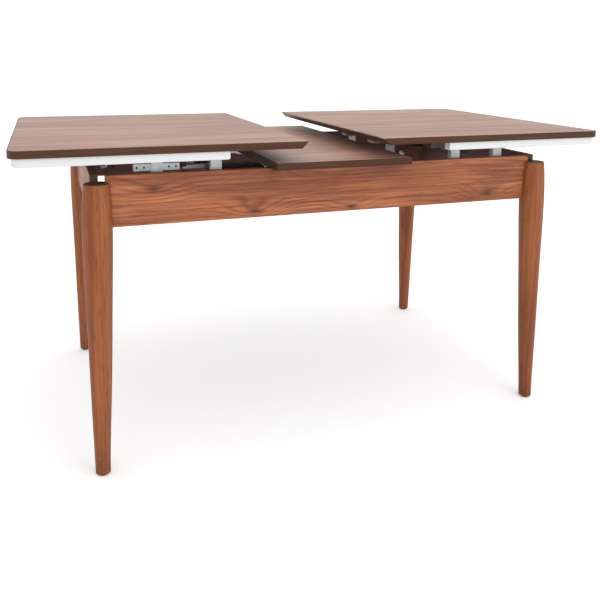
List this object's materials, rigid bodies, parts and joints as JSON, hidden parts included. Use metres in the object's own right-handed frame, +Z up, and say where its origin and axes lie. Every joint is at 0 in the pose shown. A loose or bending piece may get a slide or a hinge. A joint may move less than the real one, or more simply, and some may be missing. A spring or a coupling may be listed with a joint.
{
  "type": "extendable dining table",
  "caption": "Extendable dining table with sliding half tops, a lifting middle leaf, aprons and tapered turned legs.",
  "frame": {"origin": "on the floor, at the middle of the table", "axes": "+X along the table's length towards the right half top, +Y to the back, +Z up"},
  "size_m": [1.5, 0.8, 0.76],
  "materials": {
    "top_laminate": "satin walnut-look laminate, grain along the length",
    "dark_band": "dark brown edge band",
    "apron_wood": "satin reddish walnut veneer",
    "leg_wood": "satin stained turned wood",
    "white_lacquer": "white lacquer",
    "block_wood": "dark stained softwood",
    "aluminium_rail": "extruded, dark anodised",
    "zinc_steel": "zinc plated",
    "grey_steel": "dark grey powder coat",
    "black_nylon": "black nylon",
    "glide_plastic": "dark plastic glide",
    "grey_plastic": "moulded, matt"
  },
  "bodies": {
    "frame": {"apron_back": "apron_wood", "apron_front": "apron_wood", "apron_left": "apron_wood", "apron_right": "apron_wood", "bracket_screws": "zinc_steel", "corner_blocks": "block_wood", "cross_beam_left": "block_wood", "cross_beam_right": "block_wood", "equaliser_plate": "grey_steel", "foot_glides": "glide_plastic", "frame_screws": "zinc_steel", "guide_brackets": "zinc_steel", "leg_back_left": "leg_wood", "leg_back_right": "leg_wood", "leg_bolts": "zinc_steel", "leg_front_left": "leg_wood", "leg_front_right": "leg_wood", "leg_nuts": "zinc_steel", "lift_brackets": "grey_steel", "lift_pivots": "zinc_steel", "pinion_axle": "zinc_steel", "rack_keepers": "black_nylon", "slide_channel_back_left": "zinc_steel", "slide_channel_back_right": "zinc_steel", "slide_channel_front_left": "zinc_steel", "slide_channel_front_right": "zinc_steel", "slide_glides": "black_nylon"},
    "left_top": {"tabletop_left": "top_laminate", "edge_band_left": "dark_band", "lath_front_left": "white_lacquer", "lath_back_left": "white_lacquer", "slide_rail_front_left": "aluminium_rail", "slide_rail_back_left": "aluminium_rail", "rack_left": "zinc_steel", "drop_bracket_left": "zinc_steel", "top_screws_left": "zinc_steel", "locating_blocks_left": "grey_plastic"},
    "right_top": {"tabletop_right": "top_laminate", "edge_band_right": "dark_band", "lath_front_right": "white_lacquer", "lath_back_right": "white_lacquer", "slide_rail_front_right": "aluminium_rail", "slide_rail_back_right": "aluminium_rail", "rack_right": "zinc_steel", "drop_bracket_right": "zinc_steel", "top_screws_right": "zinc_steel", "locating_blocks_right": "grey_plastic"},
    "pinion": {"pinion": "black_nylon"},
    "leaf": {"leaf": "top_laminate", "leaf_edge_band": "dark_band", "leaf_cleat_left": "block_wood", "leaf_cleat_right": "block_wood", "lift_plates": "zinc_steel", "leaf_screws": "zinc_steel"},
    "arm_front_left": {"lift_arm_front_left": "zinc_steel"},
    "arm_front_right": {"lift_arm_front_right": "zinc_steel"},
    "arm_back_left": {"lift_arm_back_left": "zinc_steel"},
    "arm_back_right": {"lift_arm_back_right": "zinc_steel"}
  },
  "joints": [
    {"name": "left_top_slide", "type": "slide", "parent": "frame", "child": "left_top", "axis": [-1, 0, 0], "range_m": [-0.0995, 0.077]},
    {"name": "right_top_slide", "type": "slide", "parent": "frame", "child": "right_top", "axis": [1, 0, 0], "range_m": [-0.1, 0.0775]},
    {"name": "pinion_spin", "type": "hinge", "parent": "frame", "child": "pinion", "pos_m": [0, 0, 0.644], "axis": [0, 0, 1], "range_deg": [-286.5, 222]},
    {"name": "leaf_lift", "type": "slide", "parent": "frame", "child": "leaf", "axis": [0, 0, 1], "range_m": [0, 0.02]},
    {"name": "arm_front_left_hinge", "type": "hinge", "parent": "frame", "child": "arm_front_left", "pos_m": [-0.235, -0.25, 0.66], "axis": [0, -1, 0], "range_deg": [0, 7.75]},
    {"name": "arm_front_right_hinge", "type": "hinge", "parent": "frame", "child": "arm_front_right", "pos_m": [0.235, -0.25, 0.66], "axis": [0, 1, 0], "range_deg": [0, 7.75]},
    {"name": "arm_back_left_hinge", "type": "hinge", "parent": "frame", "child": "arm_back_left", "pos_m": [-0.235, 0.25, 0.66], "axis": [0, -1, 0], "range_deg": [0, 7.75]},
    {"name": "arm_back_right_hinge", "type": "hinge", "parent": "frame", "child": "arm_back_right", "pos_m": [0.235, 0.25, 0.66], "axis": [0, 1, 0], "range_deg": [0, 7.75]}
  ],
  "couplings": [
    {"joint": "right_top_slide", "follows": "left_top_slide", "ratio": 1},
    {"joint": "pinion_spin", "follows": "left_top_slide", "rad_per_m": 50},
    {"joint": "arm_front_left_hinge", "follows": "leaf_lift", "rad_per_m": 6.6667},
    {"joint": "arm_front_right_hinge", "follows": "leaf_lift", "rad_per_m": 6.6667},
    {"joint": "arm_back_left_hinge", "follows": "leaf_lift", "rad_per_m": 6.6667},
    {"joint": "arm_back_right_hinge", "follows": "leaf_lift", "rad_per_m": 6.6667}
  ]
}
